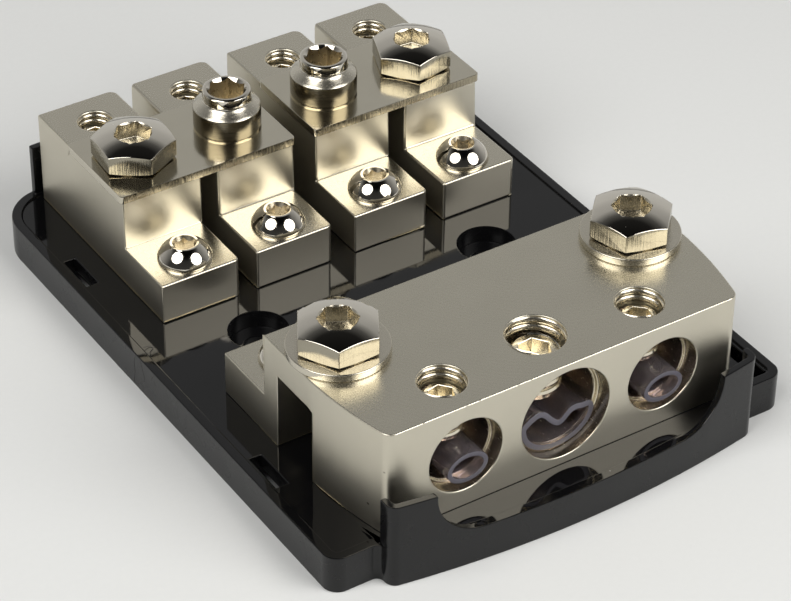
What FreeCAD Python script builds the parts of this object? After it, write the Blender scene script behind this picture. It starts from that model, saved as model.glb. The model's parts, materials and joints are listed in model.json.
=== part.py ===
import FreeCAD, Part
import math
import os
import Sketcher

# A fuse distribution block: one input block and four output blocks on a moulded tray.
# X runs along the rows of blocks, Y from the input side (front) to the output side (rear),
# Z up. The origin is at the middle of the tray's underside. Millimetres.

dimensions = {
    # Tray
    "tray_width": 89.2,
    "tray_length": 120.0,
    "rim_height": 7.0,
    "rim_width": 1.8,
    "floor_recess": 0.4,
    "floor_thickness": 3.0,
    "rear_corner_radius": 9.0,
    "front_corner_radius": 2.8,
    "shoulder_width": 8.8,
    "nose_bow_radius": 205.0,
    "nose_inner_radius": 1.2,
    "nose_corner_radius": 2.0,
    "nose_side_length": 0.2,
    # Guards that stand at both ends of the front and rear walls
    "front_guard_height": 16.0,
    "front_guard_thickness": 1.3,
    "rear_guard_height": 16.8,
    "rear_guard_thickness": 1.5,
    "guard_curve_radius": 8.5,
    "front_guard_width": 8.0,
    "rear_guard_width": 2.7,
    "rear_guard_inset": 7.5,
    # Slots for the latches of the cover
    "latch_slot_width": 2.2,
    "latch_slot_length": 8.4,
    "latch_slot_inset": 2.4,
    "rear_latch_from_rear": 26.0,
    "left_latch_from_front": 30.8,
    "right_latch_from_front": 13.7,
    "right_latch_length": 10.4,
    # Mounting holes of the tray
    "mounting_spacing": 46.8,
    "mounting_from_rear": 56.6,
    "mounting_counterbore": 10.5,
    "mounting_depth": 3.3,
    "mounting_hole": 5.4,
    "boss_wall": 1.9,
    "rib_thickness": 1.4,
    "rib_clearance": 0.6,
    # Input block
    "input_width": 73.2,
    "input_front_gap": 7.2,
    "input_length": 44.8,
    "input_height": 20.1,
    "input_ledge_length": 12.8,
    "input_ledge_height": 8.1,
    "web_thickness": 3.9,
    "channel_length": 10.4,
    "channel_roof": 5.7,
    "side_curve_radius": 80.0,
    "side_curve_length": 21.8,
    "input_corner_radius": 2.0,
    "fuse_seat_from_web": 9.4,
    "fuse_spacing": 57.0,
    # Wire ports of the input block
    "port_spacing": 19.1,
    "port_height": 10.1,
    "port_mouth_depth": 3.0,
    "port_depth": 15.0,
    "side_port_mouth": 13.7,
    "side_port_bore": 12.4,
    "middle_port_mouth": 17.0,
    "middle_port_bore": 15.0,
    "side_screw_from_front": 7.3,
    "middle_screw_from_front": 9.2,
    # Output blocks
    "output_width": 15.2,
    "output_pair_gap": 3.4,
    "output_middle_gap": 4.6,
    "output_rear_gap": 2.8,
    "output_length": 43.7,
    "output_ledge_length": 12.9,
    "output_ledge_height": 7.7,
    "output_height": 18.0,
    "plate_recess": 0.8,
    "plate_seat_length": 18.9,
    "output_corner_radius": 1.6,
    "ledge_corner_radius": 1.0,
    "output_bolt_from_riser": 9.6,
    "output_port_bore": 8.0,
    "output_port_mouth": 9.0,
    "output_port_mouth_depth": 1.2,
    "output_port_depth": 12.0,
    "output_port_height": 6.0,
    "output_screw_from_rear": 7.1,
    "ledge_screw_from_front": 5.6,
    # Bridge plates
    "plate_thickness": 1.5,
    "plate_front_overhang": 0.4,
    "plate_outer_overhang": 0.5,
    "plate_middle_overhang": 0.35,
    "plate_rear_gap": 0.1,
    "plate_corner_radius": 0.8,
    # Hex-head fuse bolts and their washers
    "bolt_thread": 8.0,
    "bolt_hole": 9.0,
    "bolt_shank": 12.0,
    "hex_across_flats": 12.8,
    "hex_head_height": 5.3,
    "hex_dome_radius": 17.4,
    "hex_face_diameter": 12.2,
    "hex_face_height": 0.3,
    "bolt_socket": 6.0,
    "bolt_socket_mouth": 7.1,
    "bolt_socket_depth": 3.4,
    "washer_diameter": 17.0,
    "washer_thickness": 1.4,
    # Stepped bridge bolts
    "stepped_body": 12.0,
    "stepped_body_height": 4.1,
    "stepped_cone_height": 1.4,
    "stepped_collar": 8.5,
    "stepped_collar_height": 2.0,
    "stepped_socket_depth": 5.0,
    "stepped_shank": 8.0,
    # Button-head base screws
    "base_thread": 5.0,
    "base_hole": 5.6,
    "base_shank": 12.0,
    "button_diameter": 9.5,
    "button_height": 3.0,
    "button_dome_radius": 5.23,
    "button_edge_height": 0.4,
    "button_socket": 3.0,
    "button_socket_depth": 1.8,
    # Wire clamp screws
    "side_thread": 8.0,
    "side_screw_length": 7.6,
    "side_screw_sunk": 2.6,
    "side_socket": 4.0,
    "middle_thread": 10.0,
    "middle_screw_length": 7.8,
    "middle_screw_sunk": 2.9,
    "middle_socket": 5.0,
    "output_thread": 6.0,
    "output_screw_length": 5.0,
    "output_screw_sunk": 2.4,
    "output_socket": 3.0,
    "clamp_socket_depth": 3.0,
    "clamp_tip_chamfer": 0.8,
    "thread_clearance": 0.05,
    # Clear tubes in the input ports
    "side_tube_wall": 1.1,
    "middle_tube_wall": 1.4,
    "tube_clearance": 0.1,
    "tube_screw_gap": 0.3,
    "side_tube_width": 7.8,
    "side_tube_length": 13.6,
    "side_tube_setback": 0.8,
    "middle_tube_width": 13.4,
    "middle_tube_dip": 1.6,
    "middle_tube_length": 12.4,
    "middle_tube_setback": 2.2,
}


class Size:
    # A length that keeps the sheet formula it comes from, so that geometry and bindings agree.
    def __init__(self, number, formula):
        self.number = number
        self.formula = formula

    def __add__(self, other):
        other = as_size(other)
        return Size(self.number + other.number, f"({self.formula} + {other.formula})")

    def __sub__(self, other):
        other = as_size(other)
        return Size(self.number - other.number, f"({self.formula} - {other.formula})")

    def __mul__(self, other):
        other = as_size(other)
        return Size(self.number * other.number, f"({self.formula} * {other.formula})")

    def __truediv__(self, other):
        other = as_size(other)
        return Size(self.number / other.number, f"({self.formula} / {other.formula})")

    def __radd__(self, other):
        return as_size(other) + self

    def __rsub__(self, other):
        return as_size(other) - self

    def __rmul__(self, other):
        return as_size(other) * self

    def __neg__(self):
        return Size(-self.number, f"(0 - {self.formula})")


def as_size(value):
    if isinstance(value, Size):
        return value
    return Size(float(value), f"({float(value)!r})")


def root(value):
    return Size(math.sqrt(value.number), f"sqrt({value.formula})")


doc = FreeCAD.newDocument("fuse_holder")
sheet = doc.addObject("Spreadsheet::Sheet", "Sizes")
for row, (alias, value) in enumerate(dimensions.items(), start=1):
    sheet.set(f"A{row}", alias)
    sheet.set(f"B{row}", str(value))
    sheet.setAlias(f"B{row}", alias)
doc.recompute()


def size(alias):
    return Size(float(dimensions[alias]), f"Sizes.{alias}")


def bind(item, **bindings):
    for name, value in bindings.items():
        item.setExpression(name.replace("_", "."), as_size(value).formula)


def place(item, x, y, z):
    item.setExpression("Placement.Base.x", as_size(x).formula)
    item.setExpression("Placement.Base.y", as_size(y).formula)
    item.setExpression("Placement.Base.z", as_size(z).formula)


# Primitives and booleans, all bound to the sheet

def box(name, x, y, z, length, width, height):
    item = doc.addObject("Part::Box", name)
    bind(item, Length=length, Width=width, Height=height)
    place(item, x, y, z)
    return item


def rod(name, x, y, z, diameter, height, along="z"):
    item = doc.addObject("Part::Cylinder", name)
    if along == "y":
        item.Placement.Rotation = FreeCAD.Rotation(FreeCAD.Vector(1, 0, 0), -90)
    bind(item, Radius=diameter / 2, Height=height)
    place(item, x, y, z)
    return item


def cone(name, x, y, z, lower, upper, height):
    item = doc.addObject("Part::Cone", name)
    bind(item, Radius1=lower / 2, Radius2=upper / 2, Height=height)
    place(item, x, y, z)
    return item


def ball(name, x, y, z, radius):
    item = doc.addObject("Part::Sphere", name)
    bind(item, Radius=radius)
    place(item, x, y, z)
    return item


def hexagon(name, x, y, z, across_flats, height, turn=0.0):
    item = doc.addObject("Part::Prism", name)
    item.Polygon = 6
    item.Placement.Rotation = FreeCAD.Rotation(FreeCAD.Vector(0, 0, 1), turn)
    bind(item, Circumradius=across_flats / root(as_size(3)), Height=height)
    place(item, x, y, z)
    return item


def fuse(name, pieces):
    item = doc.addObject("Part::MultiFuse", name)
    item.Shapes = pieces
    item.Refine = True
    return item


def common(name, pieces):
    item = doc.addObject("Part::MultiCommon", name)
    item.Shapes = pieces
    return item


def cut(name, base, tool):
    item = doc.addObject("Part::Cut", name)
    item.Base = base
    item.Tool = tool
    item.Refine = True
    return item


# Sketches: every corner is held at a bound distance from the origin, every arc by a bound radius

def draw_outline(sketch, start, steps):
    # A step is (u, v) for a straight line, or (u, v, radius, centre) for an arc; the arc turns
    # left when its centre lies left of the way from its start to its end.
    corners = [start] + [(step[0], step[1]) for step in steps]
    first = None
    previous = None
    for index, step in enumerate(steps):
        begin = [as_size(value) for value in corners[index]]
        end = [as_size(value) for value in corners[index + 1]]
        begin_point = FreeCAD.Vector(begin[0].number, begin[1].number, 0)
        end_point = FreeCAD.Vector(end[0].number, end[1].number, 0)
        if len(step) == 2:
            edge = sketch.addGeometry(Part.LineSegment(begin_point, end_point), False)
            begin_index, end_index = 1, 2
        else:
            centre = FreeCAD.Vector(as_size(step[3][0]).number, as_size(step[3][1]).number, 0)
            circle = Part.Circle(centre, FreeCAD.Vector(0, 0, 1), as_size(step[2]).number)
            left = (end_point - begin_point).cross(centre - begin_point).z > 0
            from_point, to_point = (begin_point, end_point) if left else (end_point, begin_point)
            from_angle = math.atan2(from_point.y - centre.y, from_point.x - centre.x)
            to_angle = math.atan2(to_point.y - centre.y, to_point.x - centre.x)
            if to_angle < from_angle:
                to_angle += 2 * math.pi
            edge = sketch.addGeometry(Part.ArcOfCircle(circle, from_angle, to_angle), False)
            begin_index, end_index = (1, 2) if left else (2, 1)
            hold(sketch, Sketcher.Constraint("Radius", edge, as_size(step[2]).number), step[2])
        if previous is not None:
            sketch.addConstraint(Sketcher.Constraint("Coincident", *previous, edge, begin_index))
        else:
            first = (edge, begin_index)
        for axis, value in (("DistanceX", end[0]), ("DistanceY", end[1])):
            hold(sketch, Sketcher.Constraint(axis, -1, 1, edge, end_index, value.number), value)
        previous = (edge, end_index)
    sketch.addConstraint(Sketcher.Constraint("Coincident", *previous, *first))


def draw_circle(sketch, u, v, diameter):
    centre = FreeCAD.Vector(as_size(u).number, as_size(v).number, 0)
    radius = as_size(diameter) / 2
    circle = Part.Circle(centre, FreeCAD.Vector(0, 0, 1), radius.number)
    edge = sketch.addGeometry(circle, False)
    hold(sketch, Sketcher.Constraint("Radius", edge, radius.number), radius)
    hold(sketch, Sketcher.Constraint("DistanceX", -1, 1, edge, 3, centre.x), as_size(u))
    hold(sketch, Sketcher.Constraint("DistanceY", -1, 1, edge, 3, centre.y), as_size(v))


def hold(sketch, constraint, value):
    index = sketch.addConstraint(constraint)
    sketch.setExpression(f"Constraints[{index}]", as_size(value).formula)


def free_sketch(name):
    return doc.addObject("Sketcher::SketchObject", name)


def body_sketch(body, name, role, offset=0):
    sketch = body.newObject("Sketcher::SketchObject", name)
    plane = next(part for part in body.Origin.OriginFeatures if part.Role == role)
    sketch.AttachmentSupport = (plane, "")
    sketch.MapMode = "FlatFace"
    sketch.setExpression("AttachmentOffset.Base.z", as_size(offset).formula)
    return sketch


def pad(body, sketch, length, both_ways=False):
    feature = body.newObject("PartDesign::Pad", sketch.Name + "_pad")
    feature.Profile = sketch
    if both_ways:
        feature.SideType = "Symmetric"
    feature.setExpression("Length", as_size(length).formula)
    doc.recompute()
    return feature


def pocket(body, sketch, depth=None, forwards=False):
    # A pocket goes down or to the rear, or forwards from the rear face
    before = body.Shape.Volume
    feature = body.newObject("PartDesign::Pocket", sketch.Name + "_pocket")
    feature.Profile = sketch
    feature.Reversed = forwards
    if depth is None:
        feature.Type = "ThroughAll"
    else:
        feature.setExpression("Length", as_size(depth).formula)
    doc.recompute()
    if body.Shape.Volume > before - 0.1:
        raise RuntimeError(f"{feature.Name} cuts nothing")
    return feature


def round_edges(body, name, radius, wanted):
    base = body.Tip
    names = []
    for index, edge in enumerate(base.Shape.Edges, start=1):
        if wanted(edge):
            names.append(f"Edge{index}")
    if not names:
        raise RuntimeError(f"{name} finds no edge")
    feature = body.newObject("PartDesign::Fillet", name)
    feature.Base = (base, names)
    feature.setExpression("Radius", as_size(radius).formula)
    doc.recompute()
    return feature


def upright_at(places):
    def wanted(edge):
        if len(edge.Vertexes) != 2:
            return False
        low, high = (vertex.Point for vertex in edge.Vertexes)
        upright = abs(low.x - high.x) < 0.01 and abs(low.y - high.y) < 0.01
        return upright and any(math.hypot(low.x - x, low.y - y) < 0.2 for x, y in places)
    return wanted


# Levels and rows that the pieces share

floor_level = size("rim_height") - size("floor_recess")
tray_front = -size("tray_length") / 2
tray_rear = size("tray_length") / 2
half_tray = size("tray_width") / 2

# The front wall bows forward in a nose with rounded corners; the shoulders lie behind it
nose_reach = size("nose_bow_radius") - size("nose_corner_radius")
half_nose = half_tray - size("shoulder_width")
nose_centre_x = half_nose - size("nose_corner_radius")
nose_corner_y = (tray_front + size("nose_bow_radius")
                 - root(nose_reach * nose_reach - nose_centre_x * nose_centre_x))
shoulder = nose_corner_y + size("nose_side_length") + size("nose_inner_radius")

input_front = tray_front + size("input_front_gap")
input_rear = input_front + size("input_length")
input_top = floor_level + size("input_height")
input_ledge_top = floor_level + size("input_ledge_height")
web_rear = input_rear - size("input_ledge_length")
channel_rear = web_rear - size("web_thickness")
channel_front = channel_rear - size("channel_length")
fuse_row_front = web_rear - size("fuse_seat_from_web")
port_level = floor_level + size("port_height")
input_screw_row = input_rear - size("input_ledge_length") / 2

output_rear = tray_rear - size("output_rear_gap")
output_front = output_rear - size("output_length")
riser_front = output_front + size("output_ledge_length")
output_ledge_top = floor_level + size("output_ledge_height")
output_top = floor_level + size("output_height")
plate_seat = output_top - size("plate_recess")
plate_top = plate_seat + size("plate_thickness")
fuse_row_rear = riser_front + size("output_bolt_from_riser")
output_screw_row = output_rear - size("output_screw_from_rear")
ledge_screw_row = output_front + size("ledge_screw_from_front")

inner_left = size("output_middle_gap") / 2
outer_left = inner_left + size("output_width") + size("output_pair_gap")
output_lefts = [
    -outer_left - size("output_width"),
    -inner_left - size("output_width"),
    inner_left,
    outer_left,
]
output_middles = [left + size("output_width") / 2 for left in output_lefts]
fuse_columns = [-size("fuse_spacing") / 2, size("fuse_spacing") / 2]


# Tray

def tray_outline(name, inset):
    # The tray's outline, moved inwards by the inset; the arcs keep their centres
    inset = as_size(inset)
    rear_radius = size("rear_corner_radius")
    front_radius = size("front_corner_radius")
    inner_radius = size("nose_inner_radius")
    corner_radius = size("nose_corner_radius")
    bow_radius = size("nose_bow_radius")
    bow_centre = tray_front + bow_radius
    centre_x = half_nose - corner_radius
    reach = bow_radius - corner_radius
    scale = (bow_radius - inset) / reach
    touch_x = centre_x * scale
    touch_y = bow_centre + (nose_corner_y - bow_centre) * scale
    side = half_tray - inset
    nose_side = half_nose - inset
    shoulder_y = shoulder + inset
    rear_y = tray_rear - inset
    hollow_y = shoulder - inner_radius
    front_centre_x = half_tray - front_radius
    front_centre_y = shoulder + front_radius
    rear_centre_x = half_tray - rear_radius
    rear_centre_y = tray_rear - rear_radius
    hollow_x = half_nose + inner_radius
    sketch = free_sketch(name)
    draw_outline(sketch, (-side, front_centre_y), [
        (-front_centre_x, shoulder_y, front_radius - inset, (-front_centre_x, front_centre_y)),
        (-hollow_x, shoulder_y),
        (-nose_side, hollow_y, inner_radius + inset, (-hollow_x, hollow_y)),
        (-nose_side, nose_corner_y),
        (-touch_x, touch_y, corner_radius - inset, (-centre_x, nose_corner_y)),
        (touch_x, touch_y, bow_radius - inset, (0, bow_centre)),
        (nose_side, nose_corner_y, corner_radius - inset, (centre_x, nose_corner_y)),
        (nose_side, hollow_y),
        (hollow_x, shoulder_y, inner_radius + inset, (hollow_x, hollow_y)),
        (front_centre_x, shoulder_y),
        (side, front_centre_y, front_radius - inset, (front_centre_x, front_centre_y)),
        (side, rear_centre_y),
        (rear_centre_x, rear_y, rear_radius - inset, (rear_centre_x, rear_centre_y)),
        (-rear_centre_x, rear_y),
        (-side, rear_centre_y, rear_radius - inset, (-rear_centre_x, rear_centre_y)),
        (-side, front_centre_y),
    ])
    return sketch


def raised_outline(name, inset, bottom, height):
    item = doc.addObject("Part::Extrusion", name)
    item.Base = tray_outline(name + "_outline", inset)
    item.DirMode = "Custom"
    item.Dir = FreeCAD.Vector(0, 0, 1)
    item.Solid = True
    item.setExpression("LengthFwd", as_size(height).formula)
    item.setExpression("Placement.Base.z", as_size(bottom).formula)
    return item


def guard_opening(name, y, length, width, height):
    # The opening between two guards: flat along the rim, rising in a quarter circle at each end
    radius = size("guard_curve_radius")
    bottom = size("rim_height")
    half = width / 2
    return fuse(name, [
        box(name + "_low", radius - half, y, bottom, width - radius * 2, length, height),
        box(name + "_high", -half, y, bottom + radius, width, length, height),
        rod(name + "_left", radius - half, y, bottom + radius, radius * 2, length, "y"),
        rod(name + "_right", half - radius, y, bottom + radius, radius * 2, length, "y"),
    ])


def guard_pair(place_name, y, length, span):
    # Two guards in one strip of the tray's edge, cut from a ring with the tray's own outline
    thickness = size(f"{place_name}_guard_thickness")
    height = size(f"{place_name}_guard_height")
    bottom = floor_level - size("floor_thickness")
    outer = raised_outline(f"{place_name}_guard_outer", 0, bottom, height - bottom)
    inner = raised_outline(f"{place_name}_guard_inner", thickness, bottom, height - bottom)
    ring = cut(f"{place_name}_guard_ring", outer, inner)
    strip = box(f"{place_name}_guard_strip", -span / 2, y, bottom, span, length, height)
    wall = common(f"{place_name}_guard_wall", [ring, strip])
    opening_width = span - size(f"{place_name}_guard_width") * 2
    opening = guard_opening(f"{place_name}_opening", y, length, opening_width, height)
    return cut(f"{place_name}_guards", wall, opening)


def make_tray():
    rim_top = size("rim_height")
    wall = size("rim_width")
    underside = floor_level - size("floor_thickness")
    outer = raised_outline("tray_outer", 0, 0, rim_top)
    hollow = raised_outline("tray_hollow", wall, 0, underside)
    recess = raised_outline("tray_recess", wall, floor_level, size("floor_recess"))
    shell = cut("tray_shell", outer, fuse("tray_spaces", [hollow, recess]))
    front_guards = guard_pair("front", tray_front, shoulder - tray_front, half_nose * 2)
    rear_depth = size("rear_guard_thickness")
    rear_guards = guard_pair("rear", tray_rear - rear_depth, rear_depth,
                             size("tray_width") - size("rear_guard_inset") * 2)

    posts = []
    holes = []
    base_screws = [(x, ledge_screw_row) for x in output_middles]
    base_screws += [(x, input_screw_row) for x in fuse_columns]
    post_wall = size("boss_wall") * 2
    for index, (x, y) in enumerate(base_screws, start=1):
        pilot = size("base_thread") + size("thread_clearance") * 2
        posts.append(rod(f"screw_boss_{index}", x, y, 0, pilot + post_wall, underside))
        holes.append(rod(f"screw_pilot_{index}", x, y, 0, pilot, rim_top))
    mounting_y = tray_rear - size("mounting_from_rear")
    wide = size("mounting_counterbore")
    deep = size("mounting_depth")
    for side, label in ((-1, "left"), (1, "right")):
        x = size("mounting_spacing") / 2 * side
        posts.append(rod(f"mounting_boss_{label}", x, mounting_y, 0, wide + post_wall, underside))
        holes.append(rod(f"mounting_hole_{label}", x, mounting_y, 0, size("mounting_hole"),
                         rim_top))
        holes.append(rod(f"mounting_counterbore_{label}", x, mounting_y, floor_level - deep,
                         wide, deep + size("floor_recess")))

    thin = size("rib_thickness")
    rib_bottom = size("rib_clearance")
    rib_height = underside - rib_bottom
    for index, x in enumerate(output_middles[1:3], start=1):
        posts.append(box(f"long_rib_{index}", x - thin / 2, shoulder, rib_bottom,
                         thin, tray_rear - wall / 2 - shoulder, rib_height))
    for index, y in enumerate((input_screw_row, mounting_y, ledge_screw_row), start=1):
        posts.append(box(f"cross_rib_{index}", wall / 2 - half_tray, y - thin / 2, rib_bottom,
                         size("tray_width") - wall, thin, rib_height))

    slot_width = size("latch_slot_width")
    slot_x = half_tray - size("latch_slot_inset") - slot_width
    usual = size("latch_slot_length")
    long = size("right_latch_length")
    rear_y = tray_rear - size("rear_latch_from_rear")
    for label, x, y, length in (
        ("rear_left", -slot_x - slot_width, rear_y, usual),
        ("rear_right", slot_x, rear_y, usual),
        ("front_left", -slot_x - slot_width, tray_front + size("left_latch_from_front"), usual),
        ("front_right", slot_x, tray_front + size("right_latch_from_front"), long),
    ):
        holes.append(box(f"latch_slot_{label}", x, y - length / 2, 0, slot_width, length,
                         rim_top))

    solid = fuse("tray_solid", [shell, front_guards, rear_guards] + posts)
    return cut("base_tray", solid, fuse("tray_holes", holes))


# Input block

def make_input_block():
    body = doc.addObject("PartDesign::Body", "input_block")
    profile = body_sketch(body, "input_profile", "YZ_Plane")
    channel_top = input_top - size("channel_roof")
    draw_outline(profile, (input_front, floor_level), [
        (channel_front, floor_level),
        (channel_front, channel_top),
        (channel_rear, channel_top),
        (channel_rear, floor_level),
        (input_rear, floor_level),
        (input_rear, input_ledge_top),
        (web_rear, input_ledge_top),
        (web_rear, input_top),
        (input_front, input_top),
        (input_front, floor_level),
    ])
    pad(body, profile, size("input_width"), both_ways=True)

    half = size("input_width") / 2
    radius = size("side_curve_radius")
    reach = size("side_curve_length") + 1
    start_y = input_front + size("side_curve_length")
    end_y = input_front - 1
    end_x = half - radius + root(radius * radius - reach * reach)
    for side, label in ((1, "right"), (-1, "left")):
        sketch = body_sketch(body, f"input_side_{label}", "XY_Plane", input_top)
        draw_outline(sketch, (half * side, start_y), [
            (end_x * side, end_y, radius, ((half - radius) * side, start_y)),
            ((half + 1) * side, end_y),
            ((half + 1) * side, start_y),
            (half * side, start_y),
        ])
        pocket(body, sketch)

    corner_x = half - radius + root(radius * radius
                                    - size("side_curve_length") * size("side_curve_length"))
    corners = [(corner_x.number, input_front.number), (-corner_x.number, input_front.number)]
    round_edges(body, "input_front_corners", size("input_corner_radius"), upright_at(corners))

    ports = body_sketch(body, "input_port_mouths", "XZ_Plane", -input_front)
    draw_circle(ports, 0, port_level, size("middle_port_mouth"))
    draw_circle(ports, size("port_spacing"), port_level, size("side_port_mouth"))
    draw_circle(ports, -size("port_spacing"), port_level, size("side_port_mouth"))
    pocket(body, ports, size("port_mouth_depth"))
    bores = body_sketch(body, "input_port_bores", "XZ_Plane", -input_front)
    draw_circle(bores, 0, port_level, size("middle_port_bore"))
    draw_circle(bores, size("port_spacing"), port_level, size("side_port_bore"))
    draw_circle(bores, -size("port_spacing"), port_level, size("side_port_bore"))
    pocket(body, bores, size("port_depth"))

    clearance = size("thread_clearance") * 2
    screws = body_sketch(body, "input_clamp_holes", "XY_Plane", input_top)
    draw_circle(screws, 0, input_front + size("middle_screw_from_front"),
                size("middle_thread") + clearance)
    for side in (-1, 1):
        draw_circle(screws, size("port_spacing") * side,
                    input_front + size("side_screw_from_front"),
                    size("side_thread") + clearance)
    pocket(body, screws, input_top - port_level)

    bolts = body_sketch(body, "input_bolt_holes", "XY_Plane", input_top)
    for x in fuse_columns:
        draw_circle(bolts, x, fuse_row_front, size("bolt_thread") + clearance)
    pocket(body, bolts, size("channel_roof") + 1)

    ledge = body_sketch(body, "input_ledge_holes", "XY_Plane", input_ledge_top)
    for x in fuse_columns:
        draw_circle(ledge, x, input_screw_row, size("base_hole"))
    pocket(body, ledge, size("input_ledge_height") + 1)
    return body


# Output blocks

def make_output_block(number, left):
    body = doc.addObject("PartDesign::Body", f"output_block_{number}")
    middle = left + size("output_width") / 2
    right = left + size("output_width")
    profile = body_sketch(body, f"output_profile_{number}", "YZ_Plane", middle)
    seat_end = riser_front + size("plate_seat_length")
    draw_outline(profile, (output_front, floor_level), [
        (output_rear, floor_level),
        (output_rear, output_top),
        (seat_end, output_top),
        (seat_end, plate_seat),
        (riser_front, plate_seat),
        (riser_front, output_ledge_top),
        (output_front, output_ledge_top),
        (output_front, floor_level),
    ])
    pad(body, profile, size("output_width"), both_ways=True)
    round_edges(body, f"output_rear_corner_{number}", size("output_corner_radius"),
                upright_at([(right.number, output_rear.number)]))
    round_edges(body, f"output_ledge_corner_{number}", size("ledge_corner_radius"),
                upright_at([(right.number, output_front.number)]))

    clearance = size("thread_clearance") * 2
    port = body_sketch(body, f"output_port_{number}", "XZ_Plane", -output_rear)
    draw_circle(port, middle, floor_level + size("output_port_height"), size("output_port_bore"))
    pocket(body, port, size("output_port_depth"), forwards=True)
    mouth = body_sketch(body, f"output_mouth_{number}", "XZ_Plane", -output_rear)
    draw_circle(mouth, middle, floor_level + size("output_port_height"),
                size("output_port_mouth"))
    pocket(body, mouth, size("output_port_mouth_depth"), forwards=True)

    clamp = body_sketch(body, f"output_clamp_hole_{number}", "XY_Plane", output_top)
    draw_circle(clamp, middle, output_screw_row, size("output_thread") + clearance)
    pocket(body, clamp, size("output_height") - size("output_port_height"))

    bolt = body_sketch(body, f"output_bolt_hole_{number}", "XY_Plane", output_top)
    draw_circle(bolt, middle, fuse_row_rear, size("bolt_thread") + clearance)
    pocket(body, bolt, size("plate_recess") + size("bolt_shank"))

    ledge = body_sketch(body, f"output_ledge_hole_{number}", "XY_Plane", output_ledge_top)
    draw_circle(ledge, middle, ledge_screw_row, size("base_hole"))
    pocket(body, ledge, size("output_ledge_height") + 1)
    return body


# Bridge plates

def make_plate(label, first_left, last_left, left_overhang, right_overhang, bolt_columns):
    body = doc.addObject("PartDesign::Body", f"bridge_plate_{label}")
    left = first_left - left_overhang
    right = last_left + size("output_width") + right_overhang
    front = riser_front - size("plate_front_overhang")
    rear = riser_front + size("plate_seat_length") - size("plate_rear_gap")
    sketch = body_sketch(body, f"plate_outline_{label}", "XY_Plane", plate_seat)
    draw_outline(sketch, (left, front), [
        (right, front),
        (right, rear),
        (left, rear),
        (left, front),
    ])
    for x in bolt_columns:
        draw_circle(sketch, x, fuse_row_rear, size("bolt_hole"))
    pad(body, sketch, size("plate_thickness"))
    corners = [(x.number, y.number) for x in (left, right) for y in (front, rear)]
    round_edges(body, f"plate_corners_{label}", size("plate_corner_radius"), upright_at(corners))
    return body


# Fasteners

def hex_bolt(name, x, y, seat, turn, socket_turn):
    face = size("hex_face_height")
    height = size("hex_head_height") - face
    prism = hexagon(name + "_prism", x, y, seat + face, size("hex_across_flats"), height, turn)
    dome = ball(name + "_dome", x, y, seat + size("hex_head_height") - size("hex_dome_radius"),
                size("hex_dome_radius"))
    head = common(name + "_head", [prism, dome])
    flange = rod(name + "_face", x, y, seat, size("hex_face_diameter"), face)
    shank = rod(name + "_shank", x, y, seat - size("bolt_shank"), size("bolt_thread"),
                size("bolt_shank"))
    solid = fuse(name + "_solid", [head, flange, shank])
    socket = hexagon(name + "_hexagon", x, y, seat + size("hex_head_height")
                     - size("bolt_socket_depth"), size("bolt_socket"),
                     size("bolt_socket_depth") + 1, socket_turn)
    dome_radius = size("hex_dome_radius")
    mouth_half = size("bolt_socket_mouth") / 2
    rim = (seat + size("hex_head_height") - dome_radius
           + root(dome_radius * dome_radius - mouth_half * mouth_half))
    sink = mouth_half - size("bolt_socket") / 2
    mouth = cone(name + "_mouth", x, y, rim - sink, size("bolt_socket"),
                 size("bolt_socket_mouth") + 2, sink + 1)
    return cut(name, solid, fuse(name + "_socket", [socket, mouth]))


def washer(name, x, y, seat):
    disc = rod(name + "_disc", x, y, seat, size("washer_diameter"), size("washer_thickness"))
    hole = rod(name + "_hole", x, y, seat - 1, size("bolt_hole"), size("washer_thickness") + 2)
    return cut(name, disc, hole)


def stepped_bolt(name, x, y, seat, turn):
    body_height = size("stepped_body_height")
    cone_height = size("stepped_cone_height")
    collar_height = size("stepped_collar_height")
    total = body_height + cone_height + collar_height
    solid = fuse(name + "_solid", [
        rod(name + "_body", x, y, seat, size("stepped_body"), body_height),
        cone(name + "_cone", x, y, seat + body_height, size("stepped_body"),
             size("stepped_collar"), cone_height),
        rod(name + "_collar", x, y, seat + body_height + cone_height, size("stepped_collar"),
            collar_height),
        rod(name + "_shank", x, y, seat - size("stepped_shank"), size("bolt_thread"),
            size("stepped_shank")),
    ])
    socket = hexagon(name + "_socket", x, y, seat + total - size("stepped_socket_depth"),
                     size("bolt_socket"), size("stepped_socket_depth") + 1, turn)
    return cut(name, solid, socket)


def button_screw(name, x, y, seat, turn):
    height = size("button_height")
    blank = rod(name + "_blank", x, y, seat, size("button_diameter"), height)
    half = size("button_diameter") / 2
    dome_radius = size("button_dome_radius")
    crown_drop = root(dome_radius * dome_radius - half * half)
    dome = ball(name + "_dome", x, y, seat + size("button_edge_height") - crown_drop, dome_radius)
    head = common(name + "_head", [blank, dome])
    shank = rod(name + "_shank", x, y, seat - size("base_shank"), size("base_thread"),
                size("base_shank"))
    solid = fuse(name + "_solid", [head, shank])
    socket = hexagon(name + "_socket", x, y, seat + height - size("button_socket_depth"),
                     size("button_socket"), size("button_socket_depth") + 1, turn)
    return cut(name, solid, socket)


def clamp_screw(name, x, y, top, kind, turn):
    thread = size(f"{kind}_thread")
    length = size(f"{kind}_screw_length")
    chamfer = size("clamp_tip_chamfer")
    level = top - size(f"{kind}_screw_sunk")
    solid = fuse(name + "_solid", [
        rod(name + "_body", x, y, level - length + chamfer, thread, length - chamfer),
        cone(name + "_tip", x, y, level - length, thread - chamfer * 2, thread, chamfer),
    ])
    socket = hexagon(name + "_socket", x, y, level - size("clamp_socket_depth"),
                     size(f"{kind}_socket"), size("clamp_socket_depth") + 1, turn)
    return cut(name, solid, socket)


# Clear tubes, squeezed at the bottom of the ports

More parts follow.
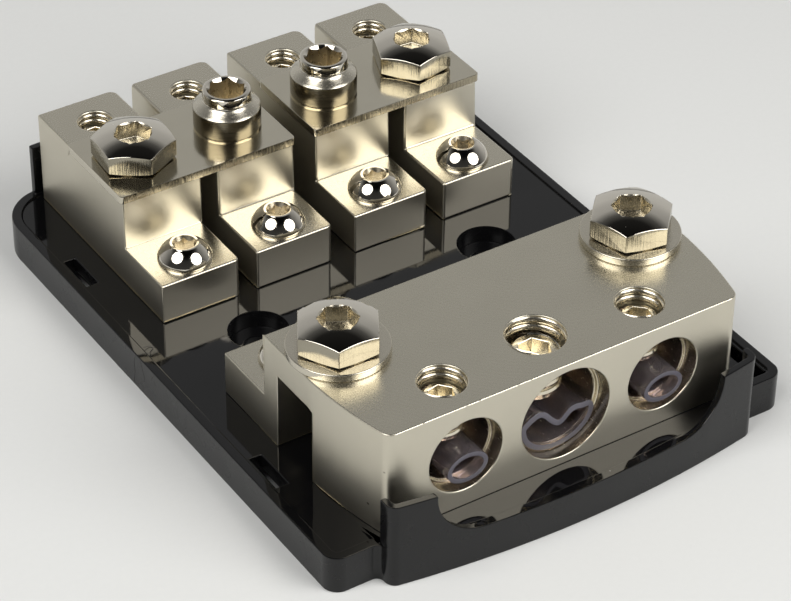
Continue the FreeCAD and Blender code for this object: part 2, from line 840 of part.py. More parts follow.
def tube_part(name, kind, outline, x):
    # A length of tube with this outline as its outer wall, set back in a port
    face = Part.Face(outline)
    inner = face.makeOffset2D(-size(f"{kind}_tube_wall").number)
    item = doc.addObject("Part::Feature", name)
    item.Shape = face.cut(inner).extrude(FreeCAD.Vector(0, size(f"{kind}_tube_length").number, 0))
    place(item, x, input_front + size(f"{kind}_tube_setback"), port_level)
    return item


def point(x, z):
    return FreeCAD.Vector(x, 0, z)


def squeezed_tube(kind):
    # The room for a tube between the bore and the screw's tip: the bore's radius, how far the
    # tube's top lies below the bore's middle, and the radius of the bend at each side that
    # touches both the bore and the level of the top
    bore = size(f"{kind}_port_bore").number / 2 - size("tube_clearance").number
    tip = input_top - size(f"{kind}_screw_sunk") - size(f"{kind}_screw_length")
    top = (port_level - tip + size("tube_screw_gap")).number
    reach = size(f"{kind}_tube_width").number / 2
    spare = bore - reach
    bend = math.sqrt((top + spare) ** 2 + spare * (bore + reach) - top ** 2) - top - spare
    return bore, top, bend


def side_tube(name, x):
    # A tube pressed to an oval, flat under the clamp screw and at the bottom of the bore
    bore, top, bend = squeezed_tube("side")
    half = size("side_tube_width").number / 2 - bend
    middle = -top - bend
    low = middle - bend
    outline = Part.Wire([
        Part.LineSegment(point(-half, low), point(half, low)).toShape(),
        Part.Arc(point(half, low), point(half + bend, middle), point(half, -top)).toShape(),
        Part.LineSegment(point(half, -top), point(-half, -top)).toShape(),
        Part.Arc(point(-half, -top), point(-half - bend, middle), point(-half, low)).toShape(),
    ])
    return tube_part(name, "side", outline, x)


def middle_tube(name):
    # A tube bent to a kidney: two lobes that rest in the bore, pressed down between them
    bore, top, bend = squeezed_tube("middle")
    spread = size("middle_tube_width").number / 2 - bend
    lobe = point(spread, -top - bend)
    dip = top + size("middle_tube_dip").number
    below = dip - top - bend
    saddle = (spread ** 2 + below ** 2 - bend ** 2) / (2 * (bend + below))
    low = lobe + point(lobe.x, lobe.z).normalize() * bend
    high = lobe + (point(0, saddle - dip) - lobe).normalize() * bend
    side = point(spread + bend, lobe.z)
    outline = Part.Wire([
        Part.Arc(point(-low.x, low.z), point(0, -bore), low).toShape(),
        Part.Arc(low, side, high).toShape(),
        Part.Arc(high, point(0, -dip), point(-high.x, high.z)).toShape(),
        Part.Arc(point(-high.x, high.z), point(-side.x, side.z), point(-low.x, low.z)).toShape(),
    ])
    return tube_part(name, "middle", outline, 0)


# The whole object

nodes = [make_tray(), make_input_block()]
for number, left in enumerate(output_lefts, start=1):
    nodes.append(make_output_block(number, left))
outer_overhang = size("plate_outer_overhang")
middle_overhang = size("plate_middle_overhang")
nodes.append(make_plate("left", output_lefts[0], output_lefts[1], outer_overhang,
                        middle_overhang, output_middles[:2]))
nodes.append(make_plate("right", output_lefts[2], output_lefts[3], middle_overhang,
                        outer_overhang, output_middles[2:]))

sides = ("left", "right")
for label, x, turn, socket_turn in zip(sides, fuse_columns, (-1.0, -13.0), (32.0, 27.0)):
    nodes.append(washer(f"input_washer_{label}", x, fuse_row_front, input_top))
    nodes.append(hex_bolt(f"input_fuse_bolt_{label}", x, fuse_row_front,
                          input_top + size("washer_thickness"), turn, socket_turn))
    nodes.append(button_screw(f"input_base_screw_{label}", x, input_screw_row,
                              input_ledge_top, 12.0))
for label, x, turn, socket_turn in zip(sides, (output_middles[0], output_middles[3]),
                                       (26.0, 9.0), (52.0, 57.0)):
    nodes.append(hex_bolt(f"output_fuse_bolt_{label}", x, fuse_row_rear, plate_top, turn,
                          socket_turn))
for label, x, turn in zip(sides, output_middles[1:3], (53.5, 47.0)):
    nodes.append(stepped_bolt(f"bridge_bolt_{label}", x, fuse_row_rear, plate_top, turn))
for number, (x, turn) in enumerate(zip(output_middles, (5.0, 18.0, 12.0, 24.0)), start=1):
    nodes.append(button_screw(f"output_base_screw_{number}", x, ledge_screw_row,
                              output_ledge_top, turn))
    nodes.append(clamp_screw(f"output_set_screw_{number}", x, output_screw_row, output_top,
                             "output", turn))
for label, side, turn in (("left", -1, 10.0), ("right", 1, 16.0)):
    x = size("port_spacing") * side
    nodes.append(clamp_screw(f"input_set_screw_{label}", x,
                             input_front + size("side_screw_from_front"), input_top,
                             "side", turn))
    nodes.append(side_tube(f"port_tube_{label}", x))
nodes.append(clamp_screw("input_set_screw_middle", as_size(0),
                         input_front + size("middle_screw_from_front"), input_top,
                         "middle", 5.0))
nodes.append(middle_tube("port_tube_middle"))

doc.recompute()

for item in doc.Objects:
    if "Invalid" in item.State or "Error" in item.State:
        raise RuntimeError(f"{item.Label} failed: {item.State}")
for node in nodes:
    if node.Shape.isNull() or not node.Shape.isValid():
        raise RuntimeError(f"{node.Label} has no valid shape")
    if len(node.Shape.Solids) != 1:
        raise RuntimeError(f"{node.Label} has {len(node.Shape.Solids)} solids")

os.makedirs("parts", exist_ok=True)
for node in nodes:
    node.Shape.exportStep(os.path.join("parts", node.Label + ".step"))
    bounds = node.Shape.BoundBox
    print(f"{node.Label}: {bounds.XMin:.2f} {bounds.YMin:.2f} {bounds.ZMin:.2f} to "
          f"{bounds.XMax:.2f} {bounds.YMax:.2f} {bounds.ZMax:.2f}, {node.Shape.Volume:.1f} mm3")
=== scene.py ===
import json
import math
import bpy
from mathutils import Matrix, Vector


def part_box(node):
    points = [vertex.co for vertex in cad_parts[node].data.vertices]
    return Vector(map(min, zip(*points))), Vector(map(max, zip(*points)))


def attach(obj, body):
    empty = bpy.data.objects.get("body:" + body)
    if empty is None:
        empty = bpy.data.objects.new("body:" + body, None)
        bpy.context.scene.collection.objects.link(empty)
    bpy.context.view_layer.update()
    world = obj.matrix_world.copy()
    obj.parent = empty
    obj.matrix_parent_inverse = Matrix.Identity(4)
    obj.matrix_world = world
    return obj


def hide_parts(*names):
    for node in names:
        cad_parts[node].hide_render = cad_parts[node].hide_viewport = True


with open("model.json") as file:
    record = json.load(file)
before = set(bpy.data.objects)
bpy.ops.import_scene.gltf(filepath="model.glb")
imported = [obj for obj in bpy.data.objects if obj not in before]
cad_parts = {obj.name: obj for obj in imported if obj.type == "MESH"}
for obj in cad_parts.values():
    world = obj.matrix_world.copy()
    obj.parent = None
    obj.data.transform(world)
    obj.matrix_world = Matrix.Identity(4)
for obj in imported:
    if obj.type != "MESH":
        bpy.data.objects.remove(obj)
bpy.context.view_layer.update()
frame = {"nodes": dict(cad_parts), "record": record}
nodes = frame["nodes"]
bodies = frame["record"]["behaviour"]["bodies"]
bodyOf = {node: body for body, names in bodies.items() for node in names}
mm = 0.001
print("frame loaded")


# Helpers for meshes made with edit mode operations

def deselect():
    if bpy.context.object and bpy.context.object.mode != "OBJECT":
        bpy.ops.object.mode_set(mode="OBJECT")
    bpy.ops.object.select_all(action="DESELECT")


def activate(piece):
    deselect()
    piece.select_set(True)
    bpy.context.view_layer.objects.active = piece


def newObject(name, data):
    piece = bpy.data.objects.new(name, data)
    bpy.context.scene.collection.objects.link(piece)
    return piece


def settle(piece):
    # The place, turn and scale of the object go into its mesh
    activate(piece)
    bpy.ops.object.transform_apply(location=True, rotation=True, scale=True)


def moveTo(piece, x, y, z):
    piece.location = (x * mm, y * mm, z * mm)
    settle(piece)


def editAll(piece):
    activate(piece)
    bpy.ops.object.mode_set(mode="EDIT")
    bpy.ops.mesh.select_mode(type="FACE")
    bpy.ops.mesh.select_all(action="SELECT")


def editNone(piece, kind):
    activate(piece)
    bpy.ops.object.mode_set(mode="EDIT")
    bpy.ops.mesh.select_mode(type=kind)
    bpy.ops.mesh.select_all(action="DESELECT")


def endOutward():
    # Leaves edit mode with every face turned outwards
    bpy.ops.mesh.select_all(action="SELECT")
    bpy.ops.mesh.normals_make_consistent(inside=False)
    bpy.ops.object.mode_set(mode="OBJECT")


def modify(piece, kind, **settings):
    # Adds a modifier with the given settings and applies it
    modifier = piece.modifiers.new(kind.lower(), kind)
    for setting, value in settings.items():
        setattr(modifier, setting, value)
    activate(piece)
    bpy.ops.object.modifier_apply(modifier=modifier.name)


def turned(name, rings, sides):
    # A turned form: each ring is a radius and a height in millimetres, from the bottom up
    deselect()
    firstRadius, firstHeight = rings[0]
    bpy.ops.mesh.primitive_circle_add(vertices=sides, radius=firstRadius * mm, fill_type="NGON",
                                      location=(0, 0, firstHeight * mm))
    piece = bpy.context.object
    piece.name = name
    settle(piece)
    editAll(piece)
    for (fromRadius, fromHeight), (toRadius, toHeight) in zip(rings, rings[1:]):
        rise = (0, 0, (toHeight - fromHeight) * mm)
        bpy.ops.mesh.extrude_region_move(TRANSFORM_OT_translate={"value": rise})
        grow = toRadius / fromRadius
        bpy.ops.transform.resize(value=(grow, grow, 1), center_override=(0, 0, toHeight * mm))
    endOutward()
    return piece


def hexPrism(name, acrossFlats, low, high, turn):
    # A six-sided bar; the 30 degrees put a corner on +X before it is turned
    deselect()
    bpy.ops.mesh.primitive_cylinder_add(vertices=6, radius=acrossFlats / math.sqrt(3) * mm,
                                        depth=(high - low) * mm, end_fill_type="NGON",
                                        location=(0, 0, (low + high) / 2 * mm),
                                        rotation=(0, 0, math.radians(turn + 30)))
    piece = bpy.context.object
    piece.name = name
    settle(piece)
    return piece


def combine(piece, tool, operation):
    modify(piece, "BOOLEAN", operation=operation, object=tool, solver="EXACT")
    bpy.data.objects.remove(tool)


def mergeClose(piece, distance):
    editAll(piece)
    bpy.ops.mesh.remove_doubles(threshold=distance * mm)
    bpy.ops.object.mode_set(mode="OBJECT")


def soften(piece, width, segments, angle):
    modify(piece, "BEVEL", width=width * mm, segments=segments, limit_method="ANGLE",
           angle_limit=math.radians(angle), harden_normals=False, use_clamp_overlap=False,
           loop_slide=False)


def bevelSharpEdges(piece, width, sharpness, clamped, wanted):
    # Rounds the sharp edges whose two ends the test takes, in three steps
    editNone(piece, "EDGE")
    bpy.ops.mesh.edges_select_sharp(sharpness=math.radians(sharpness))
    bpy.ops.object.mode_set(mode="OBJECT")
    points = piece.data.vertices
    for edge in piece.data.edges:
        if not wanted([points[index].co / mm for index in edge.vertices]):
            edge.select = False
    bpy.ops.object.mode_set(mode="EDIT")
    bpy.ops.mesh.bevel(offset=width * mm, segments=3, affect="EDGES", clamp_overlap=clamped,
                       loop_slide=clamped)
    bpy.ops.object.mode_set(mode="OBJECT")


def smooth(piece, angle):
    activate(piece)
    bpy.ops.object.shade_smooth_by_angle(angle=math.radians(angle))


def joinAll(name, pieces):
    deselect()
    for piece in pieces:
        piece.select_set(True)
    bpy.context.view_layer.objects.active = pieces[0]
    bpy.ops.object.join()
    pieces[0].name = name
    return pieces[0]


def paintWhere(piece, material, wanted):
    # A material of its own for the faces that the test picks by their centre and normal
    piece.data.materials.append(material)
    index = len(piece.data.materials) - 1
    for polygon in piece.data.polygons:
        if wanted(polygon.center / mm, polygon.normal):
            polygon.material_index = index


def paintRound(piece, material, x, y, wanted):
    # The same, but the test gets the distance from an upright axis, the height and the normal
    paintWhere(piece, material, lambda centre, normal: wanted(
        math.hypot(centre.x - x, centre.y - y), centre.z, normal))


def finish(piece, name, node, material):
    piece.name = name
    piece.data.name = name
    piece.data.materials.clear()
    piece.data.materials.append(material)
    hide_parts(node)
    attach(piece, bodyOf[node])


def finishScrew(piece, node, material):
    finish(piece, node.title().replace("_", "") + "Body", node, material)


def finishExtra(piece, material):
    # A piece that stands for no node rides on the base
    piece.data.materials.append(material)
    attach(piece, "base")


def axisOf(node):
    low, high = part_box(node)
    return (low[0] + high[0]) / 2 / mm, (low[1] + high[1]) / 2 / mm


def bottomOf(node):
    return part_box(node)[0][2] / mm


def topOf(node):
    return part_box(node)[1][2] / mm


# Helpers for the materials

def feed(tree, socket, value):
    # Links a socket to another one, or sets it to a colour or a plain value
    if isinstance(value, bpy.types.NodeSocket):
        tree.links.new(value, socket)
    elif socket.type == "RGBA":
        socket.default_value = (*value, 1)
    else:
        socket.default_value = value


def addNode(tree, kind, values):
    node = tree.nodes.new(kind)
    for label, value in values.items():
        feed(tree, node.inputs[label], value)
    return node


def addGroup(tree, group, **values):
    node = tree.nodes.new("ShaderNodeGroup")
    node.node_tree = group
    for label, value in values.items():
        feed(tree, node.inputs[label], value)
    return node


def compute(tree, operation, *values):
    node = tree.nodes.new("ShaderNodeMath")
    node.operation = operation
    for socket, value in zip(node.inputs, values):
        feed(tree, socket, value)
    return node.outputs[0]


def computeVector(tree, operation, first, second):
    node = tree.nodes.new("ShaderNodeVectorMath")
    node.operation = operation
    feed(tree, node.inputs[0], first)
    feed(tree, node.inputs[1], second)
    return node.outputs["Value" if operation == "DOT_PRODUCT" else "Vector"]


def mapRange(tree, source, fromLow, fromHigh, toLow, toHigh):
    node = addNode(tree, "ShaderNodeMapRange", {
        "Value": source, "From Min": fromLow, "From Max": fromHigh, "To Min": toLow,
        "To Max": toHigh})
    return node.outputs["Result"]


def mixColours(tree, factor, first, second):
    node = tree.nodes.new("ShaderNodeMix")
    node.data_type = "RGBA"
    for index, value in ((0, factor), (6, first), (7, second)):
        feed(tree, node.inputs[index], value)
    return node.outputs[2]


def axisParts(tree, vector):
    return addNode(tree, "ShaderNodeSeparateXYZ", {"Vector": vector}).outputs


def objectPlace(tree):
    return tree.nodes.new("ShaderNodeTexCoord").outputs["Object"]


# Shared effects for the materials

portLook = {"height": 16.7, "spacing": 19.1, "sideRadius": 6.9, "middleRadius": 8.55,
            "front": -52.7, "rear": -37.0}
grainLook = {"detail": 3.0, "blotchScale": 140.0, "blotchDetail": 4.0, "depth": 0.04}
dotLook = {"solidTo": 0.05, "clearFrom": 0.09}
arcLook = {"distortion": 1.5, "detailScale": 0.4, "depth": 0.04}
ringLook = {"distortion": 0.3, "depth": 0.06}


def newGroup(name, inputs, outputs):
    group = bpy.data.node_groups.new(name, "ShaderNodeTree")
    for label, kind, value in inputs:
        socket = group.interface.new_socket(name=label, in_out="INPUT", socket_type=kind)
        socket.default_value = value
    for label, kind in outputs:
        group.interface.new_socket(name=label, in_out="OUTPUT", socket_type=kind)
    begin = group.nodes.new("NodeGroupInput")
    end = group.nodes.new("NodeGroupOutput")
    return group, begin.outputs, end.inputs


def addBump(group, begin, height, distance):
    # The strength, and the normal under the bump if there is one, are inputs of the group
    values = {"Distance": distance * mm, "Height": height, "Strength": begin["Strength"]}
    if "Normal" in begin:
        values["Normal"] = begin["Normal"]
    return addNode(group, "ShaderNodeBump", values).outputs["Normal"]


def makeGrain():
    # Fine stretched grain with slow blotches, for plated and moulded surfaces
    group, begin, end = newGroup("fineGrain", [
        ("Scale", "NodeSocketFloat", 4000.0),
        ("Stretch", "NodeSocketVector", (1.0, 1.0, 1.0)),
        ("Strength", "NodeSocketFloat", 0.1),
    ], [("Grain", "NodeSocketFloat"), ("Blotch", "NodeSocketFloat"),
        ("Normal", "NodeSocketVector")])
    place = objectPlace(group)
    stretched = computeVector(group, "MULTIPLY", place, begin["Stretch"])
    grain = addNode(group, "ShaderNodeTexNoise", {
        "Vector": stretched, "Scale": begin["Scale"], "Detail": grainLook["detail"]})
    blotch = addNode(group, "ShaderNodeTexNoise", {
        "Vector": place, "Scale": grainLook["blotchScale"], "Detail": grainLook["blotchDetail"]})
    bump = addBump(group, begin, grain.outputs["Fac"], grainLook["depth"])
    feed(group, end["Grain"], grain.outputs["Fac"])
    feed(group, end["Blotch"], blotch.outputs["Fac"])
    feed(group, end["Normal"], bump)
    return group


def makeSpecks():
    # Sparse specks of dust, or short scratches where they are stretched
    group, begin, end = newGroup("dustSpecks", [
        ("Scale", "NodeSocketFloat", 500.0),
        ("Stretch", "NodeSocketVector", (1.0, 1.0, 1.0)),
        ("Share", "NodeSocketFloat", 0.05),
    ], [("Mask", "NodeSocketFloat")])
    stretched = computeVector(group, "MULTIPLY", objectPlace(group), begin["Stretch"])
    cells = addNode(group, "ShaderNodeTexVoronoi", {
        "Vector": stretched, "Scale": begin["Scale"], "Randomness": 1.0})
    near = mapRange(group, cells.outputs["Distance"], dotLook["solidTo"], dotLook["clearFrom"],
                    1.0, 0.0)
    tone = addNode(group, "ShaderNodeSeparateColor", {"Color": cells.outputs["Color"]})
    few = compute(group, "LESS_THAN", tone.outputs["Red"], begin["Share"])
    feed(group, end["Mask"], compute(group, "MULTIPLY", near, few))
    return group


def makeMillingArcs():
    # Faint arcs left by a cutter that turned about a distant centre
    group, begin, end = newGroup("millingArcs", [
        ("Centre", "NodeSocketVector", (0.0, 0.0, 0.0)),
        ("Scale", "NodeSocketFloat", 300.0),
        ("Strength", "NodeSocketFloat", 0.05),
        ("Normal", "NodeSocketVector", (0.0, 0.0, 0.0)),
    ], [("Normal", "NodeSocketVector")])
    centred = computeVector(group, "SUBTRACT", objectPlace(group), begin["Centre"])
    arcs = addNode(group, "ShaderNodeTexWave", {
        "Vector": centred, "Scale": begin["Scale"], "Distortion": arcLook["distortion"],
        "Detail Scale": arcLook["detailScale"]})
    arcs.wave_type = "RINGS"
    arcs.rings_direction = "Z"
    feed(group, end["Normal"], addBump(group, begin, arcs.outputs["Fac"], arcLook["depth"]))
    return group


def makePortRings():
    # Grooves that a drill leaves about the axis of each port; the ports repeat along X
    group, begin, end = newGroup("portRings", [
        ("Scale", "NodeSocketFloat", 900.0),
        ("Strength", "NodeSocketFloat", 0.3),
        ("Normal", "NodeSocketVector", (0.0, 0.0, 0.0)),
    ], [("Normal", "NodeSocketVector")])
    place = axisParts(group, objectPlace(group))
    halfSpacing = portLook["spacing"] / 2 * mm
    across = addNode(group, "ShaderNodeCombineXYZ", {
        "X": compute(group, "WRAP", place["X"], halfSpacing, -halfSpacing),
        "Z": compute(group, "SUBTRACT", place["Z"], portLook["height"] * mm)})
    rings = addNode(group, "ShaderNodeTexWave", {
        "Vector": across.outputs[0], "Scale": begin["Scale"],
        "Distortion": ringLook["distortion"]})
    rings.wave_type = "RINGS"
    rings.rings_direction = "Y"
    feed(group, end["Normal"], addBump(group, begin, rings.outputs["Fac"], ringLook["depth"]))
    return group


grainGroup = makeGrain()
portRingGroup = makePortRings()
speckGroup = makeSpecks()
millingGroup = makeMillingArcs()


# Materials

def newMaterial(name):
    material = bpy.data.materials.new(name)
    material.use_nodes = True
    tree = material.node_tree
    return material, tree, tree.nodes["Principled BSDF"].inputs


noiseRange = (0.3, 0.7)
levelRange = (0.75, 0.97)


def spread(tree, noise, low, high):
    # Nearly all of a noise lies within its range
    return mapRange(tree, noise, *noiseRange, low, high)


def onWalls(tree, amount):
    # The amount on upright walls, and nothing on level faces that look up
    shape = tree.nodes.new("ShaderNodeNewGeometry")
    rise = axisParts(tree, shape.outputs["Normal"])["Z"]
    return mapRange(tree, rise, *levelRange, amount, 0.0)


speckLook = {"share": 0.10, "dulling": 0.5}
scratchLook = {"share": 0.06, "stretch": (0.35, 0.8, 1.0), "colour": (0.22, 0.20, 0.16)}


def metal(name, look):
    # Walls, specks, arcs, rings and scratches are there only where the look names them
    material, tree, shader = newMaterial(name)
    grain = addGroup(tree, grainGroup, Scale=look["scale"], Stretch=look["stretch"],
                     Strength=look["bump"])
    colour = mixColours(tree, grain.outputs["Blotch"], look["dark"], look["light"])
    rough = spread(tree, grain.outputs["Grain"], look["smooth"], look["rough"])
    normal = grain.outputs["Normal"]
    if "walls" in look:
        rough = compute(tree, "ADD", rough, onWalls(tree, look["walls"]))
    if "specks" in look:
        dots = addGroup(tree, speckGroup, Scale=look["specks"], Share=speckLook["share"])
        dull = compute(tree, "MULTIPLY", dots.outputs["Mask"], speckLook["dulling"])
        rough = compute(tree, "ADD", rough, dull)
    if "arcs" in look:
        milling = addGroup(tree, millingGroup, Centre=look["arcs"], Scale=look["arcScale"],
                           Strength=look["arcBump"], Normal=normal)
        normal = milling.outputs["Normal"]
    if "rings" in look:
        grooves = addGroup(tree, portRingGroup, Scale=look["ringScale"], Strength=look["rings"],
                           Normal=normal)
        normal = grooves.outputs["Normal"]
    if "scratches" in look:
        marks = addGroup(tree, speckGroup, Scale=look["scratches"], Share=scratchLook["share"],
                         Stretch=scratchLook["stretch"])
        colour = mixColours(tree, marks.outputs["Mask"], colour, scratchLook["colour"])
    feed(tree, shader["Base Color"], colour)
    feed(tree, shader["Roughness"], rough)
    feed(tree, shader["Normal"], normal)
    shader["Metallic"].default_value = 1.0
    return material


satinNickel = metal("satinNickel", {
    "arcs": (0.021, -0.012, 0.0), "arcScale": 380.0, "arcBump": 0.03, "scratches": 330.0,
    "dark": (0.62, 0.583, 0.485), "light": (0.68, 0.64, 0.535), "scale": 5200.0,
    "stretch": (0.5, 1.0, 1.0), "bump": 0.10, "smooth": 0.24, "rough": 0.30, "walls": 0.08})
smoothNickel = metal("smoothNickel", {
    "dark": (0.63, 0.59, 0.49), "light": (0.67, 0.63, 0.525), "scale": 5200.0,
    "stretch": (0.5, 1.0, 1.0), "bump": 0.02, "smooth": 0.25, "rough": 0.28, "walls": 0.09})
polishedPlate = metal("polishedPlate", {
    "dark": (0.60, 0.56, 0.46), "light": (0.68, 0.64, 0.53), "scale": 3000.0,
    "stretch": (0.3, 1.0, 1.0), "bump": 0.04, "smooth": 0.12, "rough": 0.17})
washerNickel = metal("washerNickel", {
    "dark": (0.60, 0.56, 0.47), "light": (0.67, 0.63, 0.53), "scale": 4000.0,
    "stretch": (1.0, 1.0, 1.0), "bump": 0.12, "smooth": 0.20, "rough": 0.28})
brightScrew = metal("brightScrew", {
    "dark": (0.66, 0.62, 0.54), "light": (0.74, 0.70, 0.62), "scale": 3600.0, "specks": 900.0,
    "stretch": (1.0, 1.0, 0.3), "bump": 0.05, "smooth": 0.04, "rough": 0.09})
# Ground flats of the hex heads: ground streaks, and a base colour far darker than the head's
# nickel that is painted shade
groundNickelPaintedShade = metal("groundNickelPaintedShade", {
    "dark": (0.28, 0.255, 0.195), "light": (0.42, 0.39, 0.315), "scale": 4600.0,
    "stretch": (1.0, 1.0, 0.03), "bump": 1.0, "smooth": 0.14, "rough": 0.24})
# Turned sides of the stepped bolts: turning streaks, and a very dark base colour that is painted
# shade on the same nickel
turnedNickelPaintedShade = metal("turnedNickelPaintedShade", {
    "dark": (0.20, 0.175, 0.12), "light": (0.28, 0.245, 0.175), "scale": 5000.0, "specks": 900.0,
    "stretch": (0.04, 0.04, 1.0), "bump": 0.35, "smooth": 0.18, "rough": 0.27})
socketNickel = metal("socketNickel", {
    "dark": (0.46, 0.41, 0.31), "light": (0.86, 0.82, 0.71), "scale": 2200.0,
    "stretch": (1.0, 1.0, 0.4), "bump": 1.0, "smooth": 0.18, "rough": 0.30})
shearedNickel = metal("shearedNickel", {
    "dark": (0.22, 0.19, 0.12), "light": (0.60, 0.54, 0.42), "scale": 2600.0,
    "stretch": (1.0, 1.0, 0.05), "bump": 0.9, "smooth": 0.16, "rough": 0.34})
threadNickel = metal("threadNickel", {
    "dark": (0.62, 0.57, 0.46), "light": (0.72, 0.67, 0.56), "scale": 3000.0,
    "stretch": (1.0, 1.0, 1.0), "bump": 0.06, "smooth": 0.18, "rough": 0.26})
# Insides of the screw sockets: a darker copy of the nickel, painted shade in the recess
boreNickelPaintedShade = metal("boreNickelPaintedShade", {
    "dark": (0.44, 0.385, 0.28), "light": (0.64, 0.58, 0.46), "scale": 1500.0,
    "stretch": (1.0, 1.0, 0.6), "bump": 0.15, "smooth": 0.24, "rough": 0.34})
clampMetal = metal("clampMetal", {
    "dark": (0.68, 0.62, 0.49), "light": (0.80, 0.75, 0.63), "scale": 3000.0,
    "stretch": (1.0, 1.0, 1.0), "bump": 0.06, "smooth": 0.14, "rough": 0.22})
portNickel = metal("portNickel", {
    "dark": (0.64, 0.58, 0.45), "light": (0.76, 0.70, 0.56), "scale": 2600.0, "rings": 0.45,
    "ringScale": 620.0, "stretch": (1.0, 0.4, 1.0), "bump": 0.05, "smooth": 0.18, "rough": 0.28})


def moulded(name, look):
    # Glossy plastic with pale dust on it
    material, tree, shader = newMaterial(name)
    grain = addGroup(tree, grainGroup, Scale=look["scale"], Strength=look["bump"])
    dust = addGroup(tree, speckGroup, Scale=look["specks"], Share=look["share"])
    colour = mixColours(tree, dust.outputs["Mask"], look["colour"], look["dust"])
    gloss = spread(tree, grain.outputs["Blotch"], look["smooth"], look["rough"])
    feed(tree, shader["Base Color"], colour)
    feed(tree, shader["Roughness"], compute(tree, "ADD", gloss, onWalls(tree, look["walls"])))
    feed(tree, shader["Normal"], grain.outputs["Normal"])
    shader["IOR"].default_value = look["index"]
    return material


tubeFinish = {"scale": 900.0, "stretch": (1.0, 0.2, 1.0), "index": 1.45}
hairFinish = {"colour": (0.05, 0.045, 0.045, 1), "roughness": 0.4}


def tubePlastic(name, look):
    material, tree, shader = newMaterial(name)
    grain = addGroup(tree, grainGroup, Scale=tubeFinish["scale"], Stretch=tubeFinish["stretch"],
                     Strength=look["bump"])
    colour = mixColours(tree, grain.outputs["Blotch"], look["dark"], look["light"])
    rough = spread(tree, grain.outputs["Grain"], look["smooth"], look["rough"])
    feed(tree, shader["Base Color"], colour)
    feed(tree, shader["Roughness"], rough)
    feed(tree, shader["Normal"], grain.outputs["Normal"])
    shader["Transmission Weight"].default_value = look["clear"]
    shader["IOR"].default_value = tubeFinish["index"]
    return material


def plainHair():
    material, tree, shader = newMaterial("fibreBlack")
    shader["Base Color"].default_value = hairFinish["colour"]
    shader["Roughness"].default_value = hairFinish["roughness"]
    return material


blackPlastic = moulded("trayPlastic", {
    "colour": (0.004, 0.004, 0.0045), "dust": (0.12, 0.12, 0.12), "scale": 2600.0, "bump": 0.02,
    "specks": 420.0, "share": 0.05, "smooth": 0.03, "rough": 0.07, "walls": 0.22, "index": 1.43})
clearTube = tubePlastic("clearTube", {
    "dark": (0.62, 0.55, 0.60), "light": (0.74, 0.68, 0.74), "smooth": 0.05, "rough": 0.14,
    "bump": 0.05, "clear": 0.92})
cutTube = tubePlastic("cutTube", {
    "dark": (0.12, 0.115, 0.14), "light": (0.16, 0.152, 0.185), "smooth": 0.35, "rough": 0.5,
    "bump": 0.3, "clear": 0.15})
fibreBlack = plainHair()
print("materials made")


# Tray, blocks, plates and washers

trayLook = {"edge": 0.22, "segments": 2, "shrink": (0.9985, 0.9999, 1)}
inputBlockLook = {"edge": 0.24, "segments": 3, "foot": 0.5}
outputBlockLook = {"edge": 0.34, "segments": 3, "foot": 0.6}
plateLook = {"edge": 0.12, "segments": 2, "sheared": 0.9}
washerLook = {"edge": 0.22, "segments": 3}
copyLook = {"mergeGap": 0.002, "flatAngle": 0.2, "edgeAngle": 30, "smoothAngle": 40,
            "footAngle": 50, "footGap": 0.02, "flatWeight": 90}


def softened(node, look):
    # A merged copy of a node's mesh with softened edges, and a rounder foot where the look has one
    piece = newObject(node + "Finish", nodes[node].data.copy())
    editAll(piece)
    bpy.ops.mesh.remove_doubles(threshold=copyLook["mergeGap"] * mm)
    bpy.ops.mesh.customdata_custom_splitnormals_clear()
    bpy.ops.mesh.dissolve_limited(angle_limit=math.radians(copyLook["flatAngle"]))
    bpy.ops.object.mode_set(mode="OBJECT")
    if "foot" in look:
        floor = min(point.co.z for point in piece.data.vertices) / mm
        bevelSharpEdges(piece, look["foot"], copyLook["footAngle"], True, lambda ends: all(
            abs(end.z - floor) <= copyLook["footGap"] for end in ends))
    soften(piece, look["edge"], look["segments"], copyLook["edgeAngle"])
    smooth(piece, copyLook["smoothAngle"])
    modify(piece, "WEIGHTED_NORMAL", keep_sharp=True, weight=copyLook["flatWeight"])
    return piece


def inPort(centre, normal):
    # The walls and shoulders of the three wire ports
    side = portLook["spacing"]
    ports = ((-side, portLook["sideRadius"]), (0.0, portLook["middleRadius"]),
             (side, portLook["sideRadius"]))
    return portLook["front"] < centre.y < portLook["rear"] and any(
        math.hypot(centre.x - x, centre.z - portLook["height"]) < radius for x, radius in ports)


tray = softened("base_tray", trayLook)
activate(tray)
bpy.ops.transform.resize(value=trayLook["shrink"], center_override=(0, 0, 0))
settle(tray)
finish(tray, "trayBody", "base_tray", blackPlastic)
inputBlock = softened("input_block", inputBlockLook)
finish(inputBlock, "inputBlockBody", "input_block", satinNickel)
paintWhere(inputBlock, portNickel, inPort)
for number in range(1, 5):
    block = softened(f"output_block_{number}", outputBlockLook)
    finish(block, f"outputBlockBody{number}", f"output_block_{number}",
           smoothNickel)
for side in ("left", "right"):
    plate = softened(f"bridge_plate_{side}", plateLook)
    finish(plate, f"bridgePlateBody{side.title()}", f"bridge_plate_{side}",
           polishedPlate)
    paintWhere(plate, shearedNickel, lambda centre, normal: -normal.y > plateLook["sheared"])
    disc = softened(f"input_washer_{side}", washerLook)
    finish(disc, f"washerBody{side.title()}", f"input_washer_{side}", washerNickel)
print("tray and blocks made")


# Loose tubes in the wire ports

